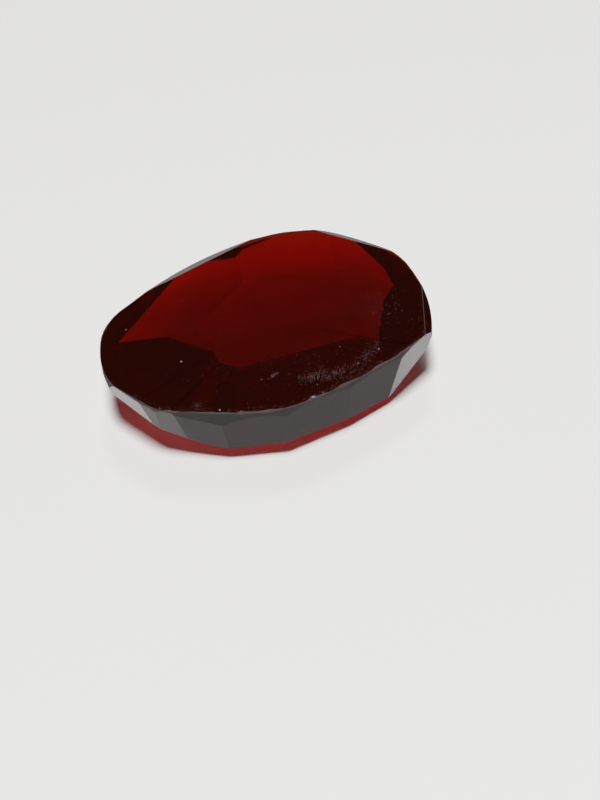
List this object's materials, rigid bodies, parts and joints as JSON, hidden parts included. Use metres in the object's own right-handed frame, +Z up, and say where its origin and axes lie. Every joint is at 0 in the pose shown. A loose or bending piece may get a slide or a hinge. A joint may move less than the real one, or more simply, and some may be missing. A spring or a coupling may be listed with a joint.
{
  "type": "faceted oval garnet gemstone",
  "caption": "Cut and polished dark red garnet, an oval faceted stone with a wide flat table and a shallow keeled underside, lying table up.",
  "frame": {"origin": "middle of the outline's box, at the level of the surface the stone lies on", "axes": "+X along the stone's long axis, +Z up out of the table"},
  "size_m": [0.012, 0.0094, 0.0028],
  "materials": {
    "garnet": "polished clear dark red garnet with a dull girdle and light wear and dust along the table's edge"
  },
  "bodies": {
    "root": {"garnet": "garnet"}
  },
  "joints": []
}
